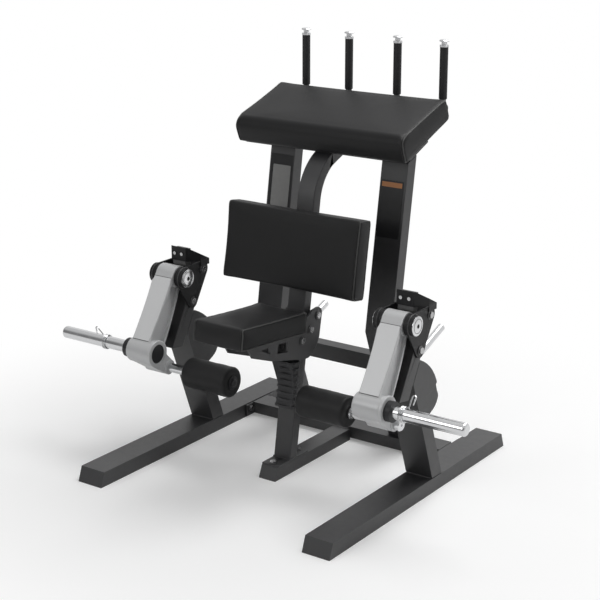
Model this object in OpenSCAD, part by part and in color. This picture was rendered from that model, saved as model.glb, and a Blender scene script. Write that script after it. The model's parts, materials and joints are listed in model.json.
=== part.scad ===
/* [Floor frame] */
// Distance from the middle to the centre line of each side rail
rail_offset = 540; // [520:1:580]
// Length of each side rail on the floor
rail_len = 1297; // [1240:1:1400]
// Run of the slanted cut at the rail ends
rail_bevel = 22; // [5:1:35]
// Broad side of the flat tube used for rails, posts and legs
tube_w = 120; // [110:1:126]
// Thin side of the same tube
tube_d = 60; // [52:1:68]
// Width of the centre rail and of the column
col_w = 80; // [70:1:90]
// Height of the centre rail
center_rail_h = 50; // [40:1:56]
// Reach of the centre rail in front of the column foot plate
center_rail_nose = 23; // [5:1:40]
// Depth of the lower cross beam from front to back
beam_d = 100; // [90:1:120]
// Height of the lower cross beam
beam_h = 50; // [40:1:55]
// Thickness of the bolting plates at the ends of the lower beam
flange_t = 8; // [6:0.5:12]
// Reach of those plates past the beam at the front
flange_front = 45; // [38:1:60]
// Reach of those plates past the beam at the back
flange_rear = 60; // [38:1:80]
// Gap left between sloping faces that are welded or bolted together
face_gap = 0.03; // [0.02:0.01:0.06]

/* [Posts] */
// Distance from the middle to the centre line of each post
post_offset = 268; // [250:1:290]
// Front face of the posts at their bend
post_y = 175.5; // [165:0.5:190]
// Height of the bend in the posts
post_bend_z = 554; // [500:1:600]
// Angle of the lower post, down and back
post_kick = 21.2; // [18:0.1:24]
// Lean of the column and of the upper posts, back from upright
frame_lean = 9; // [7:0.1:11]
// Underside height of the upper cross beam
upper_beam_z = 374; // [330:1:420]
// Height of the upper cross beam
upper_beam_h = 64; // [50:1:70]
// Depth of the upper cross beam
upper_beam_d = 60; // [45:1:64]

/* [Column] */
// Front face of the column where its line meets the floor
col_y = -115.2; // [-130:0.1:-100]
// Depth of the column tube
col_d = 50; // [42:1:58]
// Thickness of the column foot plate
foot_t = 9; // [6:0.5:12]
// Reach of the foot plate in front of the column
foot_front = 78; // [60:1:90]
// Reach of the foot plate behind the column
foot_rear = 75; // [60:1:90]
// Height at which the column starts its arch
col_bend_z = 1091; // [1060:1:1110]
// Outer radius of the arch
col_bend_r = 222; // [190:1:240]
// Straight run of the column under the chest pad
col_top_run = 175; // [120:1:220]

/* [Chest pad] */
// Tilt of the chest pad
pad_tilt = 21.5; // [18:0.1:25]
// Width of the chest pad
chest_w = 793; // [740:1:830]
// Length of the chest pad up its slope
chest_l = 349; // [320:1:380]
// Thickness at the front edge
chest_front_t = 100; // [85:1:115]
// Thickness at the back edge
chest_back_t = 82; // [70:1:100]
// Radius of the rounded front edge
chest_nose_r = 42; // [25:1:50]
// Reach of the pad in front of the end of the arch
chest_nose = 41; // [20:1:60]
// Thickness of the wooden board under a pad
board_t = 18; // [12:1:24]
// Inset of a board from the edge of its pad
board_inset = 20; // [16:1:30]
// Depth by which the chest and kneeling pads wrap round their boards
board_lap = 10; // [4:0.5:12]
// Length of the head tubes on the posts
head_len = 150; // [130:1:170]
// Set-back of a head tube behind the front of its post
head_back = 12; // [0:1:30]

/* [Thigh pad] */
// Width of the thigh pad
thigh_w = 626; // [560:1:680]
// Height of the thigh pad
thigh_h = 309; // [270:1:330]
// Thickness of the thigh pad without its board
thigh_t = 66; // [50:1:80]
// Lower edge of the thigh pad, measured up the column
thigh_s = 755; // [740:1:780]
// Thickness of its board
thigh_board_t = 14; // [10:1:18]

/* [Kneeling pad] */
// Width of the kneeling pad
kneel_w = 231; // [200:1:260]
// Length of the kneeling pad
kneel_l = 412; // [380:1:440]
// Thickness of the kneeling pad without its board
kneel_t = 79; // [60:1:85]
// Back lower edge of its board, from front to back
kneel_y = -99; // [-110:1:-90]
// Back lower edge of its board, height
kneel_z = 597; // [590:1:604]
// Rise of the kneeling pad towards the front
kneel_tilt = 5.1; // [3:0.1:7]
// Thickness of its board
kneel_board_t = 14; // [10:1:18]
// Plate thickness of the kneeling bracket
kneel_plate_t = 8; // [5:0.5:10]
// Half of the width over the two bracket plates
kneel_plate_x = 60; // [54:1:66]

/* [Side legs] */
// Depth of the upper leg tube
leg_d = 63; // [56:1:68]
// Depth of the lower leg tube
shin_d = 67; // [58:1:72]
// Front lower corner of the upper leg, from front to back
leg_toe_y = -197.5; // [-205:0.5:-190]
// Front lower corner of the upper leg, height
leg_toe_z = 452.5; // [440:0.5:460]
// Lean of the upper leg back from upright
leg_lean = 28.8; // [27:0.1:31]
// Length of the upper leg
leg_len = 378; // [370:1:388]
// Front face of the lower leg where it stands on the rail
shin_y = 60.5; // [45:0.5:75]
// Lean of the lower leg forward from upright
shin_lean = 20.2; // [19:0.1:22]
// Width of the rounded gusset behind each leg
gusset_w = 80; // [60:1:100]

/* [Lever pivot] */
// Pivot axis, from front to back
pivot_y = -121; // [-126:0.5:-116]
// Pivot axis, height
pivot_z = 734; // [728:0.5:742]
// Radius of the fixed shaft
shaft_r = 17.5; // [15:0.5:20]
// Outer radius of the bosses on the bracket
boss_r = 41; // [36:0.5:43]
// Outer face of the outer boss, from the lever centre line
boss_out = 82; // [78:1:90]
// Outer face of the inner boss, from the lever centre line
boss_in = 84; // [78:1:92]
// Thickness of the bracket side plates
bracket_t = 7; // [5:0.5:9]
// Radius of the round chrome pivot caps
cap_r = 37.5; // [30:0.5:40]
// Thickness of the pivot caps at their edge
cap_t = 3; // [2:0.5:5]

/* [Lever arm] */
// Angle of the arm forward from straight down at rest
arm_lean = 36.9; // [36:0.1:40]
// Distance from the pivot to the horn axis
arm_len = 331.6; // [318:0.1:345]
// Width of the arm's hub
arm_w = 89; // [80:1:91]
// Radius of the hub round the pivot
hub_r = 45; // [44.6:0.1:46]
// How far each end of the hub stands out beside the panel
hub_lip = 0.5; // [0.3:0.1:1]
// Front face of the arm's panel, in front of the pivot axis
panel_reach = 44; // [42:0.5:44]
// Width of the arm's front panel under the hub
panel_w = 96; // [90:1:102]
// Width of the arm's front panel at the barrel
panel_low_w = 85.5; // [76:0.5:90]
// Sideways drift of the arm from the hub down to the barrel
arm_drift = 16.2; // [8:0.1:20]
// Thickness of the front panel
panel_t = 12; // [8:0.5:16]
// Width of the waist between the front panel and the back rib
waist_w = 58; // [48:1:66]
// Width of the back rib
rib_w = 80; // [66:1:88]
// Thickness of the back rib
rib_t = 10; // [7:0.5:14]
// Radius of the barrel
barrel_r = 50; // [48:0.5:54]
// Extra radius of the ring at one end of the barrel
ring_step = 5; // [3:0.5:7]
// Plain end of the barrel, from the lever centre line
barrel_plain = 41; // [36:1:46]
// Ringed end of the barrel, from the lever centre line
barrel_ring = 90; // [84:1:96]
// Radial play of a turning fit
run_gap = 0.06; // [0.03:0.01:0.09]
// Radial play of a fixed fit
seat_gap = 0.03; // [0.02:0.01:0.06]
// Wall of the bronze bushes
bush_wall = 5; // [3:0.5:8]
// Length of each bronze bush
bush_len = 30; // [20:1:40]

/* [Weight horns] */
// Radius of the weight horns
horn_r = 25; // [24:0.5:26]
// Tip of a horn, from the lever centre line
horn_reach = 412; // [390:1:430]
// Wall of the horn tube
horn_wall = 4; // [3:0.5:6]
// Outer radius of the black sleeve in the barrel
sleeve_r = 39; // [34:0.5:42]
// Reach of the sleeve past the barrel
sleeve_out = 25; // [10:1:30]
// Wire radius of the spring collars
wire_r = 2.6; // [2:0.1:3]
// Rest place of the left collar outside its sleeve
collar_rest_left = 107; // [24:1:140]
// Rest place of the right collar outside its sleeve
collar_rest_right = 30; // [24:1:60]
// Turns of wire in a collar
collar_turns = 3; // [2:1:4]

/* [Roller] */
// Horizontal reach of the roller axis behind the barrel axis
roller_back = 119; // [112:0.5:126]
// Drop of the roller axis below the barrel axis
roller_drop = 97.6; // [90:0.1:104]
// Radius of the roller rod
rod_r = 19; // [17:0.5:20]
// Radius of the foam roller
foam_r = 63; // [52:0.5:66]
// Inner end of the foam roller, from the middle
foam_in = 170; // [160:1:190]
// Length of the foam roller
foam_len = 218; // [180:1:230]
// Wall of the plastic core in the foam
core_wall = 6; // [4:0.5:10]
// Wall of the clamp round the rod
clamp_wall = 12; // [8:0.5:16]
// Left end of the rod clamp, from the lever centre line
clamp_left = 64; // [58:1:65]
// Right end of the rod clamp, from the lever centre line
clamp_right = 50; // [46:1:58]

/* [Handles] */
// Grip spacing from the middle, inner pair
grip_in = 115.9; // [100:0.1:130]
// Grip spacing from the middle, outer pair
grip_out = 328.9; // [300:0.1:345]
// Grip axis, from front to back
grip_y = 532.5; // [520:0.5:545]
// Radius of the grips
grip_r = 16.5; // [14.5:0.5:18]
// Bare steel between the handle bar and a grip
bare_upright = 20.7; // [8:0.1:60]
// Length of the grips
grip_len = 205; // [160:1:215]
// Radius of the steel uprights in the grips
upright_r = 12.5; // [10:0.5:13]
// Radius of the handle bar
bar_r = 17; // [14:0.5:20]
// Side of the square arms that carry the handle bar
bar_arm = 40; // [30:1:50]
// Radius of the plate storage pegs
peg_r = 16.5; // [14:0.5:18]
// Length of the storage pegs
peg_len = 340; // [280:1:345]
// Base of the storage pegs, height on the post
peg_z = 348; // [300:1:370]
// Peg spacing from the middle
peg_offset = 294.6; // [270:0.1:296]

/* [Hidden] */
$fn = 64;

left = -1;
right = 1;
frame_grey = [0.22, 0.23, 0.24];
pad_black = [0.12, 0.12, 0.13];
satin_silver = [0.75, 0.76, 0.77];
bright_chrome = [0.85, 0.86, 0.88];
rubber_grey = [0.25, 0.25, 0.26];
board_black = [0.08, 0.08, 0.08];

rail_in = rail_offset - tube_w / 2;
post_in = post_offset - tube_w / 2;
post_foot_y = post_y + tan(post_kick) * (post_bend_z - tube_d);
beam_rear_y = post_foot_y + tube_d / cos(post_kick);
beam_y = beam_rear_y - beam_d;
beam_z = tube_d - beam_h;

function col_front(z) = col_y + tan(frame_lean) * z;
bend_start = [col_front(col_bend_z), col_bend_z];
bend_centre = bend_start + col_bend_r * [cos(frame_lean), -sin(frame_lean)];
seat_origin = bend_centre + col_bend_r * [-sin(pad_tilt), cos(pad_tilt)];
head_gap_y = seat_origin.x + (tube_d + face_gap) * sin(pad_tilt);
head_gap_z = seat_origin.y - (tube_d + face_gap) * cos(pad_tilt);
post_v = (post_y + tan(frame_lean) * (head_gap_z - post_bend_z) - head_gap_y)
    / (cos(pad_tilt) - tan(frame_lean) * sin(pad_tilt));

bar_w = bar_r - 3;
bar_v = (grip_y - seat_origin.x + bar_w * sin(pad_tilt)) / cos(pad_tilt);
bar_z = seat_origin.y + bar_v * sin(pad_tilt) + bar_w * cos(pad_tilt);
grip_low_z = bar_z + bar_r + bare_upright;
grip_top_z = grip_low_z + grip_len;

leg_up = [sin(leg_lean), cos(leg_lean)];
leg_back = [cos(leg_lean), -sin(leg_lean)];
leg_toe = [leg_toe_y, leg_toe_z];
leg_bolts = [for (s = [212, 350]) leg_toe + s * leg_up + leg_d / 2 * leg_back];
shin_up = [-sin(shin_lean), cos(shin_lean)];
leg_heel = leg_toe + leg_d * leg_back;

arm_dir = [-sin(arm_lean), -cos(arm_lean)];
pivot = [pivot_y, pivot_z];
barrel = pivot + arm_len * arm_dir;
roller = barrel + [roller_back, -roller_drop];
rear_top = 33;
rear_low = 60;
shoulder = 50;
clamp_r = rod_r + clamp_wall;
arm_foot = arm_len - sqrt(barrel_r * barrel_r - panel_reach * panel_reach) + 1;
plate_in = tube_w / 2;
collar_r = horn_r + wire_r + 0.5;
collar_pitch = 2 * wire_r + 0.8;
rod_out = 68;
bolt_r = 8;

// Ends of the barrel, the sleeve and the rod clamp, outwards from the lever centre line on side s
function barrel_ends(s) = s > 0 ? [-barrel_plain, barrel_ring] : [-barrel_ring, barrel_plain];
function sleeve_end(s) = barrel_ends(s)[1] + sleeve_out;
function clamp_end(s) = s > 0 ? clamp_right : clamp_left;

function arc(c, r, a0, a1, n = 10) = [for (i = [0:n])
    let (t = a0 + (a1 - a0) * i / n) c + r * [cos(t), sin(t)]];
function curve3(a, b, c, n = 8) = [for (i = [0:n])
    let (t = i / n) (1 - t) * (1 - t) * a + 2 * t * (1 - t) * b + t * t * c];

// Extrudes a side outline, drawn as [y, z], from x0 to x1
module across(x0, x1) {
    translate([x0, 0, 0]) rotate([90, 0, 90]) linear_extrude(x1 - x0) children();
}

module rod_x(p, x0, x1, r) {
    translate([x0, p.x, p.y]) rotate([0, 90, 0]) cylinder(h = x1 - x0, r = r);
}

module side(s) {
    mirror([s < 0 ? 1 : 0, 0, 0]) children();
}

module both_sides() {
    for (s = [left, right]) side(s) children();
}

module on_pad_slope() {
    translate([0, seat_origin.x, seat_origin.y]) rotate([pad_tilt, 0, 0]) children();
}

module on_column() {
    translate([0, col_y, 0]) rotate([-frame_lean, 0, 0]) children();
}

module on_kneel_slope() {
    translate([0, kneel_y, kneel_z]) rotate([-kneel_tilt, 0, 0]) children();
}

// Hexagon bolt along +Z, its seat at z = 0, with a shank below
module hex_bolt(r, head_h, shank) {
    cylinder(h = head_h, r = r * 1.7, $fn = 6);
    if (shank > 0) translate([0, 0, -shank]) cylinder(h = shank, r = r);
}

module rail() {
    half = rail_len / 2;
    across(rail_in, rail_in + tube_w)
        polygon([[-half, 0], [half, 0], [half - rail_bevel, tube_d], [-half + rail_bevel, tube_d]]);
}

module left_rail() {
    color(frame_grey) side(left) rail_with_holes();
}

module right_rail() {
    color(frame_grey) side(right) rail_with_holes();
}

flange_bolts = [[beam_y - flange_front + 30, 34], [beam_rear_y + flange_rear - 32, 34]];

module rail_with_holes() {
    difference() {
        rail();
        for (p = flange_bolts) rod_x(p, rail_in - 1, rail_in + 20, bolt_r + seat_gap);
    }
}

foot_y0 = col_front(center_rail_h + foot_t) - foot_front;
foot_y1 = col_front(center_rail_h + foot_t) + col_d / cos(frame_lean) + foot_rear;
foot_bolts = [foot_y0 + 19, foot_y1 - 17];

module center_rail() {
    nose = foot_y0 - center_rail_nose;
    color(frame_grey) difference() {
        across(-col_w / 2, col_w / 2)
            polygon([[nose, 0], [beam_y, 0], [beam_y, center_rail_h], [nose + rail_bevel, center_rail_h]]);
        for (y = foot_bolts) translate([0, y, center_rail_h - 20]) cylinder(h = 21, r = bolt_r + seat_gap);
    }
}

module column_foot() {
    color(frame_grey) difference() {
        translate([-col_w / 2, foot_y0, center_rail_h]) cube([col_w, foot_y1 - foot_y0, foot_t]);
        for (y = foot_bolts) translate([0, y, center_rail_h - 1]) cylinder(h = foot_t + 2, r = bolt_r + seat_gap);
    }
}

module lower_cross_beam() {
    half = rail_in - flange_t;
    color(frame_grey) {
        translate([-half, beam_y, beam_z]) cube([2 * half, beam_d, beam_h]);
        both_sides() difference() {
            translate([half, beam_y - flange_front, 4])
                cube([flange_t, flange_front + beam_d + flange_rear, tube_d - 8]);
            for (p = flange_bolts) rod_x(p, half - 1, rail_in + 1, bolt_r + seat_gap);
        }
    }
}

module upper_cross_beam() {
    mid = post_y + tan(post_kick) * (post_bend_z - upper_beam_z - upper_beam_h / 2) + tube_d / cos(post_kick) / 2;
    color(frame_grey) translate([-post_in, mid - upper_beam_d / 2, upper_beam_z])
        cube([2 * post_in, upper_beam_d, upper_beam_h]);
}

// Bent post: upright leaning back, then kicked back to the lower beam
module post() {
    top_plane = function(y) head_gap_z + tan(pad_tilt) * (y - head_gap_y);
    rear_up = tube_d / cos(frame_lean);
    rear_low_run = tube_d / cos(post_kick);
    rise = (rear_low_run - rear_up) / (tan(frame_lean) + tan(post_kick));
    top_front = head_gap_y + post_v * cos(pad_tilt);
    top_v = post_v + tube_d / cos(frame_lean + pad_tilt);
    top_rear = head_gap_y + top_v * cos(pad_tilt);
    across(post_in, post_in + tube_w) polygon([
        [post_foot_y, tube_d], [post_y, post_bend_z], [top_front, top_plane(top_front)],
        [top_rear, top_plane(top_rear)], [post_y + rear_up + tan(frame_lean) * rise, post_bend_z + rise],
        [beam_rear_y, tube_d]]);
}

peg_base = [post_y + tan(post_kick) * (post_bend_z - peg_z) + tube_d / cos(post_kick), peg_z];

module on_peg() {
    translate([peg_offset, peg_base.x, peg_base.y]) rotate([post_kick - 90, 0, 0]) children();
}

module left_post() {
    color(frame_grey) side(left) post();
}

module right_post() {
    color(frame_grey) side(right) post();
}

module storage_pegs() {
    color(bright_chrome) both_sides() on_peg() translate([0, 0, face_gap]) {
        cylinder(h = 6, r = peg_r + 10);
        cylinder(h = peg_len - 5, r = peg_r);
        translate([0, 0, peg_len - 5]) cylinder(h = 5, r1 = peg_r, r2 = peg_r - 5);
    }
}

// Column tube: straight, then one arch, then straight under the chest pad
module center_column() {
    inner_r = col_bend_r - col_d;
    top_dir = [cos(pad_tilt), sin(pad_tilt)];
    foot_z = center_rail_h + foot_t;
    color(frame_grey) difference() {
        across(-col_w / 2, col_w / 2) polygon(concat(
            [[col_front(foot_z), foot_z]],
            arc(bend_centre, col_bend_r, 180 - frame_lean, 90 + pad_tilt, 16),
            [seat_origin + col_top_run * top_dir],
            [seat_origin + col_top_run * top_dir + col_d * [sin(pad_tilt), -cos(pad_tilt)]],
            arc(bend_centre, inner_r, 90 + pad_tilt, 180 - frame_lean, 16),
            [[col_front(foot_z) + col_d / cos(frame_lean), foot_z]]));
        rod_x(kneel_bolt_at[1], -col_w, col_w, bolt_r + seat_gap);
    }
}

module head_tubes() {
    color(frame_grey) both_sides() on_pad_slope()
        translate([post_in, post_v + head_back, -tube_d]) cube([tube_w, head_len, tube_d]);
}

// Padded block: sides drawn in between the corners, rolled top edge, crowned face, rounder front edge
module cushion(wide, long, front_t, back_t, edge_r, nose_r, draw, crown) {
    corner = 9;
    per_arc = 4;
    per_side = 8;
    a = wide / 2;
    b = long / 2;
    outline = [for (q = [0:3])
        let (sx = (q == 0 || q == 3) ? 1 : -1, sy = (q < 2) ? 1 : -1, from = q * 90)
        let (c = [sx * (a - corner), sy * (b - corner)])
        let (run = (q % 2 == 0) ? 2 * (a - corner) : 2 * (b - corner))
        let (dir = [cos(from + 180), sin(from + 180)], inward = [cos(from + 270), sin(from + 270)])
        each concat(
            [for (i = [0:per_arc]) c + corner * [cos(from + 90 * i / per_arc), sin(from + 90 * i / per_arc)]],
            [for (i = [1:per_side - 1]) let (u = i / per_side)
                c + corner * [cos(from + 90), sin(from + 90)] + run * u * dir + draw * sin(180 * u) * inward])];
    count = len(outline);
    tall = function(y) back_t + (front_t - back_t) * (0.5 - y / long);
    roll = function(y) edge_r + (nose_r - edge_r) * pow(max(0, min(1, (-y / b - 0.6) / 0.4)), 2);
    ring = function(inset, z_of) [for (p = outline) let (k = inset(p.y))
        [p.x * (1 - k / a), p.y * (1 - k / b), z_of(p.y)]];
    base_r = 7;
    low = [for (t = [0, 45, 90]) ring(function(y) base_r * (1 - sin(t)), function(y) base_r * (1 - cos(t)))];
    high = [for (t = [0, 20, 40, 60, 80]) ring(function(y) roll(y) * (1 - cos(t)),
        function(y) tall(y) - crown - roll(y) * (1 - sin(t)))];
    dome = [for (f = [0.93, 0.8, 0.6, 0.35])
        [for (p = high[4]) [p.x * f, p.y * f, tall(p.y * f) - crown * f * f]]];
    rings = concat(low, high, dome);
    points = concat([[0, 0, 0]], [for (r = rings) each r], [[0, 0, tall(0)]]);
    last = len(points) - 1;
    faces = concat(
        [for (i = [0:count - 1]) [0, 1 + i, 1 + (i + 1) % count]],
        [for (k = [0:len(rings) - 2], i = [0:count - 1]) let (j = (i + 1) % count, base = 1 + k * count)
            each [[base + i, base + count + i, base + count + j], [base + i, base + count + j, base + j]]],
        [for (i = [0:count - 1]) let (base = 1 + (len(rings) - 1) * count)
            [base + i, last, base + (i + 1) % count]]);
    polyhedron(points, faces);
}

// Cushion that wraps round the edge of its board, with the board's place cut out of its back
module wrapped_cushion(wide, long, front_t, back_t, lap, edge_r, nose_r, draw, crown) {
    pocket = board_inset - seat_gap;
    difference() {
        cushion(wide, long, front_t + lap, back_t + lap, edge_r, nose_r, draw, crown);
        translate([pocket - wide / 2, pocket - long / 2, -1])
            cube([wide - 2 * pocket, long - 2 * pocket, lap + 1]);
    }
}

module chest_board() {
    color(board_black) on_pad_slope()
        translate([-chest_w / 2 + board_inset, -chest_nose + board_inset, face_gap])
        cube([chest_w - 2 * board_inset, chest_l - 2 * board_inset, board_t]);
}

module chest_pad() {
    color(pad_black) on_pad_slope()
        translate([0, chest_l / 2 - chest_nose, board_t - board_lap + 2 * face_gap]) wrapped_cushion(
            chest_w, chest_l, chest_front_t, chest_back_t, board_lap, 7, chest_nose_r, 2, 4);
}

module thigh_board() {
    color(board_black) on_column()
        translate([-thigh_w / 2 + board_inset, -thigh_board_t - face_gap, thigh_s + board_inset])
        cube([thigh_w - 2 * board_inset, thigh_board_t, thigh_h - 2 * board_inset]);
}

module thigh_pad() {
    color(pad_black) on_column() translate([0, -2 * face_gap, thigh_s + thigh_h / 2]) rotate([90, 0, 0])
        wrapped_cushion(thigh_w, thigh_h, thigh_t, thigh_t, thigh_board_t, 8, 8, 2, 4);
}

kneel_bolt_at = [[-50.5, 550], [9.5, 580], [58, 627]];
kneel_under = function(y) kneel_z - tan(kneel_tilt) * (y - kneel_y);

// Bracket under the kneeling pad: two cut-out plates, a seat plate and three spacers
module kneel_bracket() {
    x_in = kneel_plate_x - kneel_plate_t;
    front = -407.5;
    back = -112;
    color(frame_grey) {
        both_sides() difference() {
            across(x_in, kneel_plate_x) polygon(concat(
                [[front, kneel_under(front)], [-372.5, 567], [-247.5, 520], [-36.5, 469]],
                arc([-10, 500], 33, 270, 330, 4),
                [[47.5, 500], [69.5, 535]],
                arc([57, 630], 31, 0, 100, 6),
                [[20, 656.7], [-6, 640], [back, kneel_under(back)]]));
            across(x_in - 1, kneel_plate_x + 1) polygon([[-322, 583], [-262, 581], [-260, 553]]);
            across(x_in - 1, kneel_plate_x + 1) polygon([[-206, 577.5], [-145.5, 571], [-145.5, 529], [-214.5, 541]]);
            for (p = kneel_bolt_at) rod_x(p, x_in - 1, kneel_plate_x + 1, bolt_r + seat_gap);
        }
        across(-x_in, x_in) polygon([for (p = [[front + 14, 0], [back, 0], [back, -6], [front + 14, -6]])
            [p.x, kneel_under(p.x) + p.y]]);
        for (p = [kneel_bolt_at[0], kneel_bolt_at[2]]) difference() {
            rod_x(p, -x_in, x_in, bolt_r + 6);
            rod_x(p, -x_in - 1, x_in + 1, bolt_r + seat_gap);
        }
        both_sides() difference() {
            rod_x(kneel_bolt_at[1], col_w / 2, x_in, bolt_r + 8);
            rod_x(kneel_bolt_at[1], col_w / 2 - 1, x_in + 1, bolt_r + seat_gap);
        }
    }
}

module kneel_board() {
    color(board_black) on_kneel_slope() translate([-kneel_w / 2 + board_inset, board_inset - kneel_l, face_gap])
        cube([kneel_w - 2 * board_inset, kneel_l - 2 * board_inset, kneel_board_t]);
}

module kneel_pad() {
    color(pad_black) on_kneel_slope() translate([0, -kneel_l / 2, kneel_board_t - board_lap + 2 * face_gap])
        wrapped_cushion(kneel_w, kneel_l, kneel_t, kneel_t, board_lap, 8, 10, 2, 4);
}

// Ribbed guard on the column, seen from above as stacked bowed fins
module shin_guard() {
    guard_low = 272;
    guard_high = 462;
    half = 46;
    fins = 8;
    fin_t = 9;
    profile = curve3([30, guard_low], [6, 380], [62, guard_high], 12);
    step = (guard_high - guard_low - fin_t) / (fins - 1);
    color(rubber_grey) on_column() {
        across(-half + 8, half - 8) polygon(concat([[0, guard_low], [0, guard_high]],
            [for (i = [12:-1:0]) [-profile[i].x + 6, profile[i].y]]));
        for (k = [0:fins - 1]) {
            s = guard_low + k * step;
            u = (s - guard_low) / (guard_high - guard_low);
            reach = (1 - u) * (1 - u) * 30 + 2 * u * (1 - u) * 6 + u * u * 62;
            translate([0, 0, s]) linear_extrude(fin_t) polygon(concat(
                [[half, 0]], [[half, -reach * 0.55]],
                curve3([half, -reach * 0.55], [0, -reach * 1.45 - 3], [-half, -reach * 0.55], 10), [[-half, 0]]));
        }
    }
}

module upper_leg_outline() {
    polygon([leg_toe, leg_toe + leg_len * leg_up, leg_heel + leg_len * leg_up, leg_heel + 22 * leg_up]);
}

function on_leg_rear(p) = let (k = ((leg_heel.x - p.x) * leg_up.y - (leg_heel.y - p.y) * leg_up.x)
    / (shin_up.x * leg_up.y - shin_up.y * leg_up.x)) p + k * shin_up;
shin_front = [shin_y, tube_d];
shin_rear = [shin_y + shin_d / cos(shin_lean), tube_d];

module lower_leg() {
    across(rail_in, rail_in + tube_w)
        polygon([shin_front, shin_rear, on_leg_rear(shin_rear), on_leg_rear(shin_front)]);
}

module left_lower_leg() {
    color(frame_grey) side(left) lower_leg();
}

module right_lower_leg() {
    color(frame_grey) side(right) lower_leg();
}

module upper_leg() {
    difference() {
        across(rail_in, rail_in + tube_w) upper_leg_outline();
        for (p = leg_bolts) rod_x(p, rail_in - 1, rail_in + tube_w + 1, bolt_r + seat_gap);
    }
}

module left_upper_leg() {
    color(frame_grey) side(left) upper_leg();
}

module right_upper_leg() {
    color(frame_grey) side(right) upper_leg();
}

// Rounded gusset in the crook behind each leg: a core with thicker cheeks over its upper part
module gusset_outline() {
    along_shin = function(z) shin_rear + (z - tube_d) / cos(shin_lean) * shin_up;
    polygon(concat(
        [along_shin(302), along_shin(568)],
        curve3([-18, 566], [98, 515], [126, 402], 8),
        curve3([135, 385], [142, 345], [81, 320], 6)));
}

module leg_gussets() {
    core = gusset_w / 2 - 7;
    cheek_edge = curve3([150, 470], [97, 412], [-30, 372], 8);
    color(frame_grey) both_sides() {
        across(rail_offset - core, rail_offset + core) gusset_outline();
        across(rail_offset - gusset_w / 2, rail_offset + gusset_w / 2) intersection() {
            gusset_outline();
            polygon(concat([[-150, 372], [-150, 600], [150, 600]], cheek_edge));
        }
    }
}

// Side plate outline: round the pivot and the two bolts
module bracket_outline() {
    hull() {
        translate(pivot) circle(r = 44, $fn = 32);
        translate(leg_bolts[0]) circle(r = 30, $fn = 32);
        translate(leg_bolts[1]) circle(r = 34, $fn = 32);
    }
}

module lever_bracket() {
    difference() {
        union() {
            for (x = [rail_offset - plate_in - bracket_t, rail_offset + plate_in])
                across(x, x + bracket_t) bracket_outline();
            rod_x(pivot, rail_offset + arm_w / 2 + 1.5, rail_offset + boss_out, boss_r);
            rod_x(pivot, rail_offset - boss_in, rail_offset - arm_w / 2 - 1.5, boss_r);
        }
        rod_x(pivot, rail_offset - 100, rail_offset + 100, shaft_r + seat_gap);
        for (p = leg_bolts) rod_x(p, rail_offset - 100, rail_offset + 100, bolt_r + seat_gap);
    }
}

module left_lever_bracket() {
    color(frame_grey) side(left) lever_bracket();
}

module right_lever_bracket() {
    color(frame_grey) side(right) lever_bracket();
}

guard_face_y = -72.5;
guard_t = 4;
guard_half = 37;
guard_top = pivot_z + 109;
screw_half = 18;
screw_z = pivot_z + 81;
screw_r = 4;

// Folded guard over the pivot, open at the top
module stop_guards() {
    wall_out = plate_in + bracket_t + guard_t;
    plate_top = max(pivot_z + 44, leg_bolts[1].y + 34);
    knee_y = -18;
    end_y = 38.5;
    low_z = leg_bolts[1].y + 1.7 * bolt_r + 1;
    color(frame_grey) both_sides() difference() {
        intersection() {
            translate([rail_offset, 0, pivot_z - 34]) linear_extrude(200) polygon([
                [wall_out, end_y], [wall_out, knee_y], [guard_half, guard_face_y], [-guard_half, guard_face_y],
                [-wall_out, knee_y], [-wall_out, end_y], [guard_t - wall_out, end_y],
                [guard_t - wall_out, knee_y + 1.5], [-guard_half + 2, guard_face_y + guard_t],
                [guard_half - 2, guard_face_y + guard_t], [wall_out - guard_t, knee_y + 1.5],
                [wall_out - guard_t, end_y]]);
            across(rail_offset - 120, rail_offset + 120)
                polygon([[guard_face_y - 1, pivot_z + 52], [guard_face_y - 1, guard_top],
                    [guard_face_y + 6, guard_top], [knee_y, guard_top - 31], [end_y, guard_top - 60],
                    [end_y, low_z], [knee_y + 1.5, low_z], [knee_y + 1.5, plate_top + 2]]);
        }
        for (x = [-screw_half, screw_half])
            translate([rail_offset + x, guard_face_y - 1, screw_z]) rotate([-90, 0, 0])
                cylinder(h = guard_t + 2, r = screw_r + seat_gap);
    }
}

module stop_blocks() {
    depth = 34;
    half = guard_half - 4;
    low = pivot_z + 41;
    high = pivot_z + 100;
    y0 = guard_face_y + guard_t;
    color(rubber_grey) both_sides() difference() {
        across(rail_offset - half, rail_offset + half) polygon(concat([[y0, high], [y0, low]],
            arc([y0 + depth / 2, low], depth / 2, 180, 360, 10), [[y0 + depth, low], [y0 + depth, high]]));
        for (x = [-screw_half, screw_half]) translate([rail_offset + x, y0 - 1, screw_z])
            rotate([-90, 0, 0]) cylinder(h = 17, r = screw_r + seat_gap);
    }
}

module guard_screws() {
    color(bright_chrome) both_sides() for (x = [-screw_half, screw_half])
        translate([rail_offset + x, guard_face_y, screw_z]) rotate([90, 0, 0]) {
            cylinder(h = 4, r = 7);
            translate([0, 0, -18]) cylinder(h = 18, r = screw_r);
        }
}

// Outline in the lever's own frame, drawn as [back, up] with the pivot at the origin
module in_lever() {
    translate(pivot) rotate(-arm_lean) children();
}

function arm_rear(s) = rear_top + (rear_low - rear_top) * (s - 35) / 255;
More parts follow.
